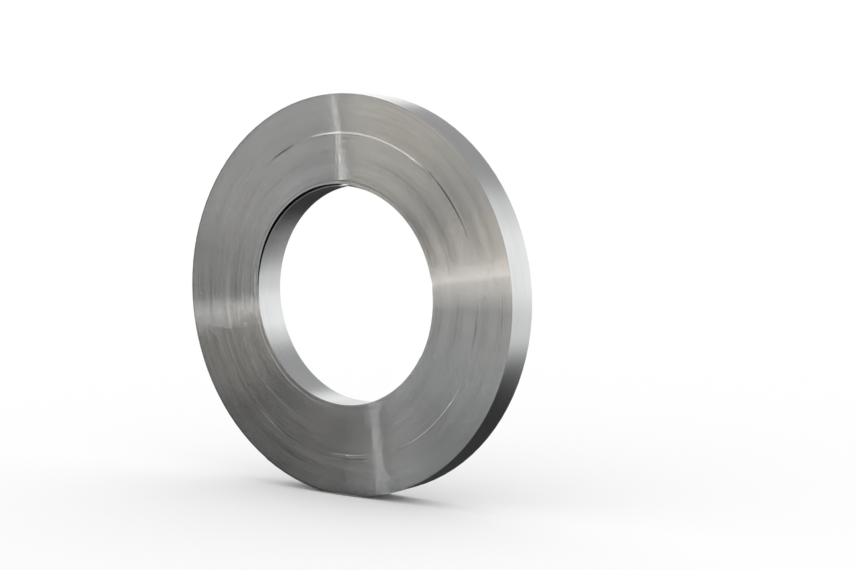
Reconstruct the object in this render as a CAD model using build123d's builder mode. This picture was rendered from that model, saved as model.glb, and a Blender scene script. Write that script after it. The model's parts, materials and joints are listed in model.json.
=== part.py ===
from build123d import *
import os

# A narrow coil of slit steel strip, wound tight round a mandrel and left standing on its rim.
# Lengths are in millimetres and angles in degrees. The floor is at Z 0, the coil's axis lies level
# along Y, and the front end faces -Y. Angles on the ends run from the right, up over the top.
bore_diameter = 508
outer_diameter = 935
strip_width = 80
strip_thickness = 1
full_turn = 360

bore_radius = bore_diameter / 2
outer_radius = outer_diameter / 2
build_up = outer_radius - bore_radius

# The turns wander from side to side as the strip is wound, so the ends are bands of turns that
# stand in or out a little. Two stray turns past the middle of the build stand out at the front.
side_wander = 1.2
band_reach_shares = (0.05, 0.12, 0.19, 0.28, 0.36, 0.45, 0.52, 0.578, 0.588, 0.68, 0.77, 0.86, 0.93, 1)
band_shift_shares = (1, 0.1, -0.2, 0.2, 0, -0.25, 0.1, 0.3, -1, 0.15, -0.15, 0.1, -0.1, 0.2)
band_reaches = [bore_radius + share * build_up for share in band_reach_shares]
band_shifts = [share * side_wander for share in band_shift_shares]

# The strip's tail lies on the turn under it, low on the left, and its head steps into the bore on
# the right. Past each end the next turn comes back to the full radius over a long ramp.
tail_angle = 240
tail_ramp_angle = 50
head_angle = -30
head_ramp_angle = 40

# The innermost turn has sprung clear of the next one at the upper left, and leaves a dark gap.
sprung_angle = 145
sprung_spread_angle = 90
sprung_gap_share = 0.5
sprung_radius = bore_radius + strip_thickness
sprung_gap = sprung_gap_share * (band_reaches[0] - sprung_radius)
sprung_start = sprung_angle - sprung_spread_angle / 2
sprung_end = sprung_angle + sprung_spread_angle / 2

coil_axis = Axis((0, 0, outer_radius), (0, 1, 0))
end_plane = Plane((0, 0, outer_radius), x_dir=(1, 0, 0), z_dir=(0, -1, 0))


def on_circle(radius, angle):
    return Vector(radius, 0).rotate(Axis.Z, angle)


def way_round(angle):
    return Vector(0, 1).rotate(Axis.Z, angle)


with BuildPart() as coil:
    # The bands between the first and the last, turned from their stacked sections.
    with BuildSketch(Plane.YZ):
        for inner, outer, shift in zip(band_reaches, band_reaches[1:-1], band_shifts[1:-1]):
            with Locations((shift, outer_radius + (inner + outer) / 2)):
                Rectangle(strip_width, outer - inner)
    revolve(axis=coil_axis)

    # The last band, with the step and the ramp at the strip's tail.
    with BuildSketch(end_plane.offset(-band_shifts[-1])):
        with BuildLine():
            ramp_top = on_circle(outer_radius, tail_angle - tail_ramp_angle)
            step_top = on_circle(outer_radius, tail_angle)
            step_foot = on_circle(outer_radius - strip_thickness, tail_angle)
            CenterArc((0, 0), outer_radius, tail_angle, full_turn - tail_ramp_angle)
            Line(step_top, step_foot)
            TangentArc(ramp_top, step_foot, tangent=way_round(tail_angle - tail_ramp_angle))
        make_face()
        Circle(band_reaches[-2], mode=Mode.SUBTRACT)
    extrude(amount=strip_width / 2, both=True)

    # The first band, with the step at the strip's head and the gap behind the sprung turn.
    with BuildSketch(end_plane.offset(-band_shifts[0])):
        Circle(band_reaches[0])
        with BuildLine():
            ramp_top = on_circle(bore_radius, head_angle + head_ramp_angle)
            step_top = on_circle(bore_radius, head_angle)
            step_foot = on_circle(bore_radius + strip_thickness, head_angle)
            CenterArc((0, 0), bore_radius, head_angle + head_ramp_angle, full_turn - head_ramp_angle)
            Line(step_top, step_foot)
            TangentArc(ramp_top, step_foot, tangent=-way_round(head_angle + head_ramp_angle))
        make_face(mode=Mode.SUBTRACT)
        with BuildLine():
            gap_start = on_circle(sprung_radius, sprung_start)
            gap_end = on_circle(sprung_radius, sprung_end)
            ThreePointArc(gap_start, on_circle(sprung_radius, sprung_angle), gap_end)
            ThreePointArc(gap_start, on_circle(sprung_radius + sprung_gap, sprung_angle), gap_end)
        make_face(mode=Mode.SUBTRACT)
    extrude(amount=strip_width / 2, both=True)

coil.part.label = "coil"
os.makedirs("parts", exist_ok=True)
export_step(coil.part, "parts/coil.step")
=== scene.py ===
import json
import math

import bpy
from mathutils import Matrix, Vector, noise


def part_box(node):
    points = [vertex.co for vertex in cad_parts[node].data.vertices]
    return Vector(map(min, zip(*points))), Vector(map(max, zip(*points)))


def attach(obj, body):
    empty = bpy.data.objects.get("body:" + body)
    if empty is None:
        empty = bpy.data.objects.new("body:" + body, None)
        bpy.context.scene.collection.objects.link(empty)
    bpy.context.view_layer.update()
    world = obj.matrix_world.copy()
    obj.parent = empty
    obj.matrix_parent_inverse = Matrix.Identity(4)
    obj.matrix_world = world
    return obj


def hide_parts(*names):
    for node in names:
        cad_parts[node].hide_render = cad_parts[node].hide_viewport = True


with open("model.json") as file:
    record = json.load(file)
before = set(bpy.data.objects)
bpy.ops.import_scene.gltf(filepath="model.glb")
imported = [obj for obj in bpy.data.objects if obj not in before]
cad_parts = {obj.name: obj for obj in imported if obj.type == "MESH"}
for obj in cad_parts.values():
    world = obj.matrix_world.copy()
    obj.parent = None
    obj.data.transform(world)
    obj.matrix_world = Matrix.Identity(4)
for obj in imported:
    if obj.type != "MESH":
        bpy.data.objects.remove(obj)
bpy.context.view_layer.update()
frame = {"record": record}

# The coil: one length of cold rolled steel strip, slit to its width and wound tight on a mandrel,
# clockwise from the bore outwards as seen from the front. The sheared edges of its turns make up the
# coil's two ends, and only its own spring holds it together.
bore = next(mount for mount in frame["record"]["mounts"] if mount["name"] == "bore")
low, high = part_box("coil")
bore_radius = bore["dims"]["r_mm"] / 1000
strip_width = bore["dims"]["length_mm"] / 1000
outer_radius = (high[2] - low[2]) / 2
axis_height = (high[2] + low[2]) / 2

# Angles run from the right, up over the top. The head of the strip is in the bore and its tail on
# the outside, and the coil stands on the lap that is outermost straight below. The innermost turn
# and that last lap are single turns, with the packed ones between them.
head_angle = math.radians(330)
tail_angle = math.radians(240)
floor_angle = math.radians(270)
tail_share = (head_angle - tail_angle) / math.tau
packed_turns, single_turns = 210, 2
build_up_turns = packed_turns + single_turns + (head_angle - floor_angle) / math.tau
strip_thickness = (outer_radius - bore_radius) / build_up_turns
packed_start = bore_radius + strip_thickness
packed_end = packed_start + packed_turns * strip_thickness


class Grade:
    """A value that changes over a surface: one socket among a finish's nodes."""

    def __init__(self, tree, socket=None):
        self.tree, self.socket = tree, socket

    def node(self, kind, settings=(), sockets=(), out=0):
        made = self.tree.nodes.new(kind)
        for name, value in dict(settings).items():
            setattr(made, name, value)
        for name, value in dict(sockets).items():
            if isinstance(value, Grade):
                self.tree.links.new(value.socket, made.inputs[name])
            else:
                made.inputs[name].default_value = value
        return Grade(self.tree, made.outputs[out])

    def maths(self, operation, first, second):
        return self.node("ShaderNodeMath", {"operation": operation}, {0: first, 1: second})

    def __add__(self, other):
        return self.maths("ADD", self, other)

    def __sub__(self, other):
        return self.maths("SUBTRACT", self, other)

    def __rsub__(self, other):
        return self.maths("SUBTRACT", other, self)

    def __mul__(self, other):
        return self.maths("MULTIPLY", self, other)

    def __truediv__(self, other):
        return self.maths("DIVIDE", self, other)

    def __pow__(self, other):
        return self.maths("POWER", self, other)

    __radd__, __rmul__ = __add__, __mul__


def bare_steel(name):
    """A bare metal finish, its shader, the place on it, and the way out from the coil's axis."""
    finish = bpy.data.materials.new(name)
    finish.use_nodes = True
    shader = finish.node_tree.nodes["Principled BSDF"]
    shader.inputs["Metallic"].default_value = 1
    start = Grade(finish.node_tree)
    place = start.node("ShaderNodeTexCoord", out="Object")
    across = start.node("ShaderNodeSeparateXYZ", sockets={0: place}, out="X")
    up = start.node("ShaderNodeSeparateXYZ", sockets={0: place}, out="Z") - axis_height
    radius = (across * across + up * up) ** 0.5
    return finish, shader, place, (across / radius, up / radius)


def drawn_out(outward, depth, patches, detail=1.0):
    """Grain drawn out round the coil in patches, which changes quickly with the depth."""
    across, up = outward
    place = depth.node(
        "ShaderNodeCombineXYZ", sockets={0: across * patches, 1: up * patches, 2: depth}
    )
    return depth.node(
        "ShaderNodeTexNoise", sockets={"Vector": place, "Scale": 1.0, "Detail": detail}, out="Fac"
    )


# A Mix node's outputs are a number, a vector and a colour.
mixed_colour = 2


def toned(colour, tone):
    """A colour made lighter or darker by a tone."""
    return tone.node(
        "ShaderNodeMix", {"data_type": "RGBA", "blend_type": "MULTIPLY"},
        {"Factor": 1.0, "A": colour, "B": tone}, mixed_colour,
    )


def give(shader, socket, grade):
    """Feeds a grade to one of a shader's sockets."""
    grade.tree.links.new(grade.socket, shader.inputs[socket])


# The sheared edges: grey, with a grain that runs along the strip. The slitter's burr leans each edge
# a little in or out, never along the turn, so a lamp shows as streaks that run out from the bore.
# Proud turns have painted highlights and sunk ones painted shadows. Each grain is counted per turn.
warm_edge, cool_edge = (0.422, 0.414, 0.398, 1), (0.402, 0.409, 0.416, 1)
edge_tone, turn_tone, band_tone, painted_light_tone = 0.92, 0.10, 0.06, 0.65
edge_gloss, gloss_change = 0.028, 0.012
burr_lean, turn_lean = 0.75, 0.012
turn_grain, band_grain, grain_patches, grain_detail = 0.9, 0.11, 1.6, 2.0
region_grain, region_patches = 0.009, 0.9
burr_grain, burr_patches = 90, 2.0
ripple_grain, ripple_patches = 0.16, 1.2
grain_middle = 0.5
slit_edges, shader, place, outward = bare_steel("slit edges")
turns = place.node("ShaderNodeAttribute", {"attribute_name": "turn"}, out="Fac")
# The stray attribute holds painted highlights and painted shade, which lighten or darken the tone.
strayed = place.node("ShaderNodeAttribute", {"attribute_name": "stray"}, out="Fac")
by_turn = drawn_out(outward, turns * turn_grain, grain_patches, grain_detail)
by_band = drawn_out(outward, turns * band_grain, grain_patches, grain_detail)
by_region = drawn_out(outward, turns * region_grain, region_patches)
by_burr = drawn_out(outward, turns * burr_grain, burr_patches) - grain_middle
by_ripple = drawn_out(outward, turns * ripple_grain, ripple_patches) - grain_middle
steel = place.node(
    "ShaderNodeMix", {"data_type": "RGBA"},
    {"Factor": by_region, "A": warm_edge, "B": cool_edge}, mixed_colour,
)
tone = (edge_tone + turn_tone * by_turn + band_tone * by_band) * (1 + painted_light_tone * strayed)
give(shader, "Base Color", toned(steel, tone))
give(shader, "Roughness", edge_gloss + gloss_change * by_turn)
facing = place.node("ShaderNodeNewGeometry", out="Normal")
way_out = place.node("ShaderNodeCombineXYZ", sockets={0: outward[0], 2: outward[1]})
lean = place.node(
    "ShaderNodeVectorMath", {"operation": "SCALE"},
    {0: way_out, "Scale": burr_lean * by_burr + turn_lean * by_ripple},
)
leaning = place.node("ShaderNodeVectorMath", {"operation": "ADD"}, {0: facing, 1: lean})
give(shader, "Normal", place.node("ShaderNodeVectorMath", {"operation": "NORMALIZE"}, {0: leaning}))

# The two faces of the strip, which show as the outside and the bore: bright from the rolls, with
# fine lines that run along the strip and a faint stain of oil, both counted per metre of its width.
rolled_steel = (0.56, 0.565, 0.57, 1)
roll_tone, line_tone, stain_tone = 0.8, 0.2, 0.2
roll_gloss, line_gloss = 0.16, 0.1
line_grain, line_patches = 700, 1.5
stain_grain, stain_patches = 14, 2.0
rolled_faces, shader, place, outward = bare_steel("rolled faces")
along = place.node("ShaderNodeSeparateXYZ", sockets={0: place}, out="Y")
lines = drawn_out(outward, along * line_grain, line_patches, grain_detail)
stain = drawn_out(outward, along * stain_grain, stain_patches, grain_detail)
tone = roll_tone + line_tone * lines + stain_tone * stain
give(shader, "Base Color", toned(rolled_steel, tone))
give(shader, "Roughness", roll_gloss + line_gloss * lines)

# Inside the gap in the bore the faces are painted dark as painted shade, mottled in tone and gloss.
gap_shade_black = (0.05, 0.05, 0.05, 1)
gap_shade_tone, gap_mottle_tone = 0.4, 0.6
gap_gloss, gap_mottle_gloss = 0.3, 0.2
gap_mottle_grain, gap_mottle_patches = 40, 3.0
shaded_gap_faces, shader, place, outward = bare_steel("oiled faces")
along = place.node("ShaderNodeSeparateXYZ", sockets={0: place}, out="Y")
gap_mottle = drawn_out(outward, along * gap_mottle_grain, gap_mottle_patches, grain_detail)
give(shader, "Base Color", toned(gap_shade_black, gap_shade_tone + gap_mottle_tone * gap_mottle))
give(shader, "Roughness", gap_gloss + gap_mottle_gloss * gap_mottle)
finishes = (slit_edges, rolled_faces, shaded_gap_faces)
edges_finish, rolled_finish, shaded_gap_finish = range(len(finishes))

# The turns wander sideways in bands, each a share of the build-up from the bore, and a little from
# turn to turn. The shear leaves the middle of an edge proud of its corners, so each is in two parts.
side_wander = 0.0012
band_ends = (0.05, 0.12, 0.19, 0.28, 0.36, 0.45, 0.52, 0.68, 0.77, 0.86, 0.93)
band_shifts = (1, 0.1, -0.2, 0.2, 0, -0.25, 0.1, 0.15, -0.15, 0.1, -0.1, 0.2)
first_blend_turns, band_blend_turns = 1, 24
slow_wander, slow_pace, slow_row = 0.00002, 0.13, 7
turn_wander, turn_pace, turn_rows = 0.000015, 2.3, (3.3, 8.3)
edge_crown, edge_parts = 0.00004, 2

# Here and there a few turns stand proud of the front or have sunk: the share of the build-up, how
# many turns, the angles from and to in degrees, and the shift to the back as a share of the wander.
strays = (
    (0.578, 6, 52, 105, -1.0),
    (0.585, 3, 26, 50, 0.9),
    (0.562, 3, 112, 125, 0.9),
    (0.579, 3, -65, -32, -0.9),
    (0.588, 3, -129, -106, 0.8),
    (0.548, 2, -92, -80, -0.6),
    (0.597, 2, -93, -79, 0.6),
    (0.565, 3, -14, -4, 0.7),
    (0.870, 3, -9, 0, 0.7),
    (0.322, 2, -155, -136, 0.7),
    (0.262, 2, -154, -140, 0.5),
)
stray_taper = math.radians(4)

# The outermost turns carry painted shade at the left, more than half way round, and the innermost
# a painted highlight.
outer_turns, outer_shade, outer_angle, outer_reach = 5, -0.9, math.radians(195), 0.5
inner_turns, inner_shade = 4, 0.35

# The innermost turn has sprung clear of the next at the upper left of the bore, and lies against it
# elsewhere with a hair of clearance.
sprung_angle, sprung_reach = math.radians(130), math.radians(54)
sprung_gap, sprung_depth = 0.008, 0.02
hair = 0.00002

# The ends of the coil are laid out flat in the map, front below back, with the turns as level lines.
# Above them come the faces of the strip, and at the top the cuts across it at its head and tail.
end_height, wall_height = 0.44, 0.022
end_floors = (0.0, 0.45)
wall_floors = {"bore": 0.895, "outside": 0.92, "gap inside": 0.945, "gap outside": 0.97}
cut_floor, cut_height = 0.994, 0.005
steps_per_turn = 96


def only(thing):
    """Leaves one object selected and active."""
    bpy.ops.object.select_all(action="DESELECT")
    thing.select_set(True)
    bpy.context.view_layer.objects.active = thing


def section(inner, outer, angle, edge_pieces=()):
    """The outline of the turns between two radii at an angle, with its ends in small pieces."""
    middle = (inner + outer) / 2
    place = (middle * math.cos(angle), 0, axis_height + middle * math.sin(angle))
    bpy.ops.object.select_all(action="DESELECT")
    bpy.ops.mesh.primitive_plane_add(size=1, location=place, rotation=(0, -angle, 0))
    outline = bpy.context.object
    outline.scale = (outer - inner, strip_width, 1)
    bpy.ops.object.transform_apply(location=True, rotation=True, scale=True)
    bpy.ops.object.mode_set(mode="EDIT")
    bpy.ops.mesh.delete(type="ONLY_FACE")
    for pieces in edge_pieces:
        bpy.ops.mesh.select_mode(type="EDGE")
        bpy.ops.mesh.select_all(action="DESELECT")
        bpy.ops.object.mode_set(mode="OBJECT")
        for edge in outline.data.edges:
            front, back = (outline.data.vertices[corner].co.y for corner in edge.vertices)
            edge.select = abs(front - back) < strip_width / 2
        bpy.ops.object.mode_set(mode="EDIT")
        bpy.ops.mesh.subdivide(number_cuts=pieces - 1)
    bpy.ops.object.mode_set(mode="OBJECT")
    return outline


def between(value):
    """A value kept between none and all."""
    return min(max(value, 0), 1)


def stray_at(turn, angle):
    """How far a stray turn is out of line, with the share that its taper leaves, or nothing."""
    for share, turns, start, end, shift in strays:
        middle, reach = math.radians((start + end) / 2), math.radians((end - start) / 2)
        inside = reach - abs(math.remainder(angle - middle, math.tau))
        if abs(turn - share * build_up_turns) < turns / 2 and inside > 0:
            return shift, between(inside / stray_taper)
    return 0, 0


def sideways(turn, angle, on_middle):
    """How far an edge stands to the back, at a place counted in turns from the strip's head."""
    shift = band_shifts[0]
    for end, before, after in zip(band_ends, band_shifts, band_shifts[1:]):
        blend = first_blend_turns if end == band_ends[0] else band_blend_turns
        shift += (after - before) * between((turn - end * build_up_turns) / blend + 0.5)
    stray, share = stray_at(turn, angle)
    shift += (stray - shift) * share
    slow = slow_wander * noise.noise(Vector((turn * slow_pace, slow_row, 0)))
    quick = turn_wander * noise.noise(Vector((turn * turn_pace, turn_rows[on_middle], 0)))
    return side_wander * shift + slow + quick


def wind(outline, start_share, share, first_turn, walls, lap=0):
    """Winds an outline clockwise round the axis, and sets its turns along the spiral and sideways."""
    count = len(outline.data.vertices)
    steps = round(share * steps_per_turn)
    only(outline)
    bpy.ops.object.mode_set(mode="EDIT")
    bpy.ops.mesh.select_mode(type="VERT")
    bpy.ops.mesh.select_all(action="SELECT")
    bpy.ops.mesh.spin(
        steps=steps, angle=-share * math.tau, center=(0, 0, axis_height), axis=(0, 1, 0)
    )
    bpy.ops.object.mode_set(mode="OBJECT")
    mesh = outline.data
    radii = [math.hypot(corner.co.x, corner.co.z - axis_height) for corner in mesh.vertices[:count]]
    inner = min(radii)
    rows = [round((radius - inner) / strip_thickness * edge_parts) for radius in radii]
    last_row = max(rows)
    turn_values, painted_light_values = [], []
    for index, vertex in enumerate(mesh.vertices):
        column, place = divmod(index, count)
        row = rows[place]
        on_middle = row % edge_parts
        turned = start_share + share * column / steps + (lap if row == last_row else 0)
        angle = head_angle - turned * math.tau
        turn = first_turn + row // edge_parts + turned
        radius = inner + (row / edge_parts + turned) * strip_thickness
        side = 1 if vertex.co.y > 0 else -1
        stray, strayed = stray_at(turn, angle)
        # A turn proud of the front has a painted highlight there and a painted shadow at the back.
        shade = side * stray * strayed
        if first_turn:
            away = math.remainder(angle - sprung_angle, math.tau)
            fall = (math.cos(away) - math.cos(sprung_reach)) / (1 - math.cos(sprung_reach))
            squeeze = 1 - (radius - packed_start - strip_thickness) / sprung_depth
            radius += sprung_gap * max(fall, 0) * between(squeeze)
            # The outermost turns get painted shade, most at the left.
            painted_shade_share = between(outer_reach + math.cos(angle - outer_angle))
            shade += outer_shade * painted_shade_share * between(1 - (last_row - row) / edge_parts / outer_turns)
        elif row:
            radius -= hair
        # The innermost turns get a painted highlight.
        shade += inner_shade * between(1 - turn / inner_turns)
        edge = side * (strip_width / 2 - edge_crown * (1 - on_middle))
        edge += sideways(turn, angle, on_middle)
        vertex.co = (
            radius * math.cos(angle),
            min(max(edge, low[1]), high[1]),
            axis_height + radius * math.sin(angle),
        )
        turn_values.append(first_turn + row / edge_parts + turned)
        painted_light_values.append(shade)
    for name, values in (("turn", turn_values), ("stray", painted_light_values)):
        mesh.attributes.new(name, "FLOAT", "POINT").data.foreach_set("value", values)
    for finish in finishes:
        mesh.materials.append(finish)
    flat = mesh.uv_layers.new(name="OFBake")
    for face in mesh.polygons:
        backs = [mesh.vertices[corner].co.y > 0 for corner in face.vertices]
        on_end = all(backs) or not any(backs)
        wall = walls[rows[face.vertices[0] % count] > 0]
        if not on_end:
            face.material_index = shaded_gap_finish if "gap" in wall else rolled_finish
        for corner, back, loop in zip(face.vertices, backs, face.loop_indices):
            share_round = start_share + share * (corner // count) / steps
            if on_end:
                level = end_floors[back] + end_height * turn_values[corner] / (build_up_turns + 1)
            else:
                level = wall_floors[wall] + wall_height * back
            flat.data[loop].uv = share_round, level
    return outline


weld_gap = strip_thickness / 200


def close_up(thing):
    """Welds the seams where turns meet, fills the strip's open ends and faces the skin outwards."""
    only(thing)
    bpy.ops.object.mode_set(mode="EDIT")
    bpy.ops.mesh.select_all(action="SELECT")
    bpy.ops.mesh.remove_doubles(threshold=weld_gap)
    bpy.ops.mesh.fill_holes(sides=0)
    bpy.ops.mesh.select_all(action="SELECT")
    bpy.ops.mesh.normals_make_consistent(inside=False)
    bpy.ops.object.mode_set(mode="OBJECT")


def joined(thing, other):
    """Makes one object of two."""
    only(thing)
    other.select_set(True)
    bpy.ops.object.join()
    return thing


# The edges are divided in two cuts, because one cut takes no more than a hundred.
first_cut = 20
packed_pieces = (first_cut, edge_parts * packed_turns // first_cut)
first_share = 1 - hair / (math.tau * packed_start)
first_turn = wind(
    section(bore_radius, packed_start, head_angle),
    0, first_share, 0, ("bore", "gap inside"),
)
last_lap = wind(
    section(packed_start, packed_end, head_angle, packed_pieces),
    0, tail_share, 1, ("gap outside", "outside"), lap=1,
)
packed = wind(
    section(packed_start, packed_end, tail_angle, packed_pieces),
    tail_share, 1 - tail_share, 1, ("gap outside", "outside"),
)
close_up(first_turn)
packed = joined(packed, last_lap)
close_up(packed)
coil = joined(packed, first_turn)
coil.name = coil.data.name = "wound_coil"


def goes_round(corners):
    """Whether a face or an edge runs on along the turn, by the places of its corners."""
    half_step = math.pi / steps_per_turn
    angles = [math.atan2(corner.z - axis_height, corner.x) for corner in corners]
    return any(abs(math.remainder(angle - angles[0], math.tau)) > half_step for angle in angles)


# An edge is smooth along the turn, and each turn is sharp against the next. The cuts at the head and
# tail are sheared like the edges, with sharp corners.
only(coil)
bpy.ops.object.shade_smooth()
for edge in coil.data.edges:
    corners = [coil.data.vertices[corner].co for corner in edge.vertices]
    edge.use_edge_sharp = corners[0].y * corners[1].y > 0 and goes_round(corners)
flat = coil.data.uv_layers["OFBake"].data
for face in coil.data.polygons:
    corners = [coil.data.vertices[corner].co for corner in face.vertices]
    if not goes_round(corners):
        face.material_index = edges_finish
        radii = [math.hypot(corner.x, corner.z - axis_height) for corner in corners]
        for corner, radius, loop in zip(corners, radii, face.loop_indices):
            depth = (radius - min(radii)) / (max(radii) - min(radii))
            flat[loop].uv = corner.y / strip_width + 0.5, cut_floor + cut_height * depth
            coil.data.edges[coil.data.loops[loop].edge_index].use_edge_sharp = True

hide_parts("coil")
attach(coil, "root")

# The floor: a plain white sheet that the coil stands on, wide enough to fill the view, with a matt
# face that takes the coil's shadow. The room above it is evenly white.
floor_side, matt, white = 40, 0.9, (1, 1, 1, 1)
bpy.ops.object.select_all(action="DESELECT")
bpy.ops.mesh.primitive_plane_add(size=floor_side)
floor = bpy.context.object
floor.name = "floor"
matt_white = bpy.data.materials.new("matt white")
matt_white.use_nodes = True
paint = matt_white.node_tree.nodes["Principled BSDF"]
paint.inputs["Base Color"].default_value = white
paint.inputs["Roughness"].default_value = matt
paint.inputs["Specular IOR Level"].default_value = 0
floor.data.materials.append(matt_white)
room = bpy.data.worlds.new("white room")
room.use_nodes = True
room.node_tree.nodes["Background"].inputs["Color"].default_value = white
bpy.context.scene.world = room


# The studio's cards: sheets of grey, black and lit card, set up round the coil as is usual for bare
# metal. Only the metal sees them, and each fades out at its sides, so none shows as a hard edge.
def card(name, corner, side, rise, shade, fades):
    """Sets up a card from a corner and two sides, with fades at the start and end of each side."""
    corner, side, rise = Vector(corner), Vector(side), Vector(rise)
    bpy.ops.object.select_all(action="DESELECT")
    bpy.ops.mesh.primitive_plane_add(size=1)
    sheet = bpy.context.object
    sheet.name = name
    for vertex in sheet.data.vertices:
        vertex.co = corner + side * (vertex.co.x + 0.5) + rise * (vertex.co.y + 0.5)
    paper = bpy.data.materials.new(name)
    paper.use_nodes = True
    nodes = paper.node_tree.nodes
    nodes.remove(nodes["Principled BSDF"])
    start = Grade(paper.node_tree)
    place = start.node("ShaderNodeTexCoord", out="Object")
    place = start.node("ShaderNodeVectorMath", {"operation": "SUBTRACT"}, {0: place, 1: corner})
    cover = None
    for way, (first_fade, last_fade) in ((side, fades[:2]), (rise, fades[2:])):
        along = start.node(
            "ShaderNodeVectorMath", {"operation": "DOT_PRODUCT"},
            {0: place, 1: way.normalized()}, "Value",
        )
        for depth, fade in ((along, first_fade), (way.length - along, last_fade)):
            faded = start.node(
                "ShaderNodeMapRange", {"interpolation_type": "SMOOTHSTEP"},
                {"Value": depth, "From Min": 0.0, "From Max": fade},
            )
            cover = faded if cover is None else cover * faded
    clear = start.node("ShaderNodeBsdfTransparent")
    lit = start.node("ShaderNodeEmission", sockets={"Color": (*shade, 1), "Strength": 1.0})
    both = start.node("ShaderNodeMixShader", sockets={0: cover, 1: clear, 2: lit})
    start.tree.links.new(both.socket, nodes["Material Output"].inputs["Surface"])
    sheet.data.materials.append(paper)
    sheet.visible_camera = sheet.visible_diffuse = sheet.visible_shadow = False


def standing_card(name, bearing, rise, far, width, height, shade, fade):
    """A card that faces the coil, at a bearing right of straight back and a rise above its axis."""
    bearing, rise = math.radians(bearing), math.radians(rise)
    flat = math.cos(rise) * far
    across = Vector((math.cos(bearing), -math.sin(bearing), 0)) * width
    tall = Vector((0, 0, height))
    lift = axis_height + math.sin(rise) * far
    middle = Vector((math.sin(bearing) * flat, math.cos(bearing) * flat, lift))
    card(name, middle - across / 2 - tall / 2, across, tall, shade, (fade,) * 4)


def floor_card(name, bearing, start, length, left, right, lift, shade, fades):
    """A card on the floor that runs out from the coil, at a bearing left of straight ahead."""
    bearing = math.radians(bearing)
    out = Vector((-math.sin(bearing), -math.cos(bearing), 0))
    over = Vector((out.y, -out.x, 0))
    corner = out * start - over * right + Vector((0, 0, lift))
    card(name, corner, out * length, over * (left + right), shade, fades)


# Bearing and rise in degrees, how far off, width, height, shade and fade.
for standing in (
    ("back right card", 31, 9, 3.5, 2.2, 2.3, (1.4, 1.4, 1.4), 0.7),
    ("back left card", -28, 19, 3.5, 1.8, 1.3, (1.3, 1.3, 1.3), 0.5),
    ("low front card", 195, 1, 4.2, 2.0, 1.4, (1.75, 1.65, 1.5), 0.5),
    ("high front card", 210, 10, 4.2, 1.6, 1.4, (1.5, 1.43, 1.28), 0.5),
):
    standing_card(*standing)

# Bearing in degrees, start, length, reach to its left and right, lift off the floor, shade and fades.
for lying in (
    ("far card", 48, 2.2, 12, 1.5, 1.5, 0.001, (0.6, 0.6, 0.58), (0.6,) * 4),
    ("long dark card", 32, 0, 14, 1.6, 0, 0.002, (0.045, 0.045, 0.04), (0.2, 0.5, 0.4, 0.4)),
    ("near dark card", 80, -0.1, 2.6, 1.3, 1.25, 0.003, (0.045, 0.045, 0.04), (0.5,) * 4),
    ("left glow card", 54, 1.2, 1.8, 0.2, 0.2, 0.007, (0.62, 0.58, 0.52), (0.5, 0.5, 0.2, 0.2)),
):
    floor_card(*lying)

# Corner, side and rise, and on the next line shade and fades.
for plain in (
    ("cool front card", (-0.1, -2.2, 0.006), (1.6, 0, 0), (0, 2.2, 0),
     (0.3, 0.335, 0.37), (0.3, 0.5, 0.6, 0.15)),
    ("cool middle card", (-1.0, -2.0, 0.006), (0.9, 0, 0), (0, 1.0, 0),
     (0.52, 0.56, 0.6), (0.35, 0.3, 0.35, 0.35)),
    ("dark back card", (-1.6, -0.3, 0.004), (2.9, 0, 0), (0, 1.9, 0),
     (0.05, 0.05, 0.05), (0.5, 0.6, 0.3, 1.3)),
    ("dark far back card", (-4, -0.2, 0.005), (4.1, 0, 0), (0, 5, 0),
     (0.05, 0.05, 0.05), (0.6, 0.5, 0.3, 0.8)),
    ("grey top card", (-1.6, 2.6, 1.75), (3.2, 0, 0), (0, 0.6, 2.2),
     (0.45, 0.45, 0.45), (0.5,) * 4),
):
    card(*plain)

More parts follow.
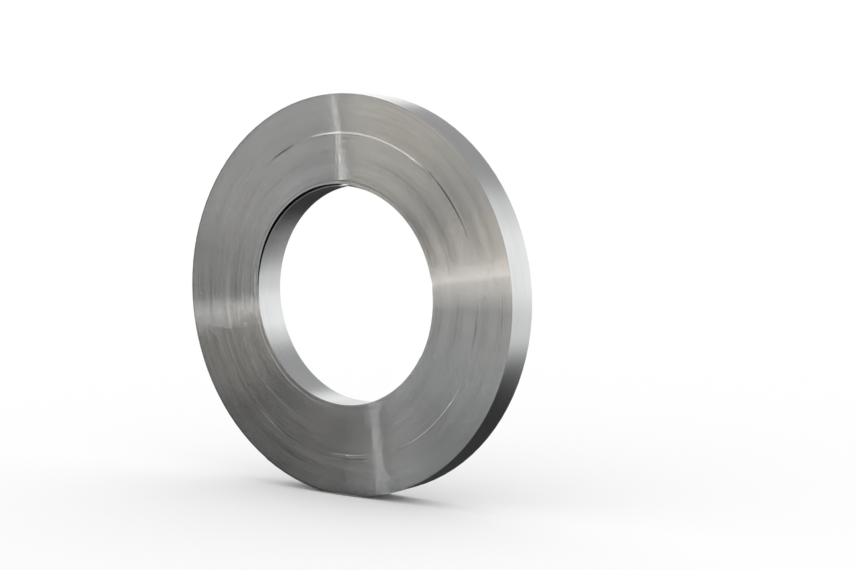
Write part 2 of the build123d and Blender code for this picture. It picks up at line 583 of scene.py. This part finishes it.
# The side card stands across the way out at its own bearing, and reaches from there to the left.
side_bearing, side_far, side_lift = math.radians(53), 4, 0.01
side_width, side_height = 6, 4
side_shade, side_fades = (0.3, 0.3, 0.28), (0.5,) * 4
side_out = Vector((-math.sin(side_bearing), -math.cos(side_bearing), 0))
side_over = Vector((side_out.y, -side_out.x, 0))
side_corner = side_out * side_far + Vector((0, 0, side_lift))
card(
    "grey side card", side_corner, side_over * side_width, (0, 0, side_height), side_shade, side_fades
)

# The streak lamps: a short upright lamp, a low lit bar and a dim panel to the front left, near where
# the coil's end mirrors the camera. The lamp draws the streaks up and down from the bore, and the bar
# and the panel the glows to its left and right.
lamp_place = Vector((-2.783, -3.54, 0.034))
lamp_width, lamp_height, lamp_light = 0.009, 0.06, 47
upright = bpy.data.lights.new("upright lamp", "AREA")
upright.shape = "RECTANGLE"
upright.size, upright.size_y = lamp_width, lamp_height
upright.energy = lamp_light * math.pi * lamp_width * lamp_height
lamp = bpy.data.objects.new("upright lamp", upright)
bpy.context.collection.objects.link(lamp)
lamp.location = lamp_place
lamp.rotation_euler = Vector((-lamp_place.x, -lamp_place.y, 0)).to_track_quat("-Z", "Y").to_euler()
lamp.visible_camera = lamp.visible_diffuse = False
bar_corner, bar_side, bar_rise = (-2.2, -3.58, 0.11), (1.0, -0.08, 0.18), (0, 0, 0.2)
bar_shade, bar_fades = (3.7, 3.6, 3.4), (0.2, 0.25, 0.04, 0.16)
card("low lit bar", bar_corner, bar_side, bar_rise, bar_shade, bar_fades)
panel_corner, panel_side, panel_rise = (-2.99, -3.5, 0.005), (0.19, -0.02, 0), (0, 0, 0.065)
panel_shade, panel_fades = (4.7, 4.7, 4.6), (0.12, 0.03, 0.006, 0.04)
card("dim panel", panel_corner, panel_side, panel_rise, panel_shade, panel_fades)

# The camera stands to the front right, above the coil's axis, and looks a little down.
camera_tilt, camera_turn = math.radians(90 - 5.074), math.radians(35.28)
view = bpy.data.cameras.new("camera")
view.lens, view.sensor_width = 78.96, 36
camera = bpy.data.objects.new("camera", view)
bpy.context.collection.objects.link(camera)
camera.location = (2.66573, -3.46086, 0.87793)
camera.rotation_euler = (camera_tilt, 0, camera_turn)
bpy.context.scene.camera = camera
bpy.context.scene.view_settings.view_transform = "Standard"
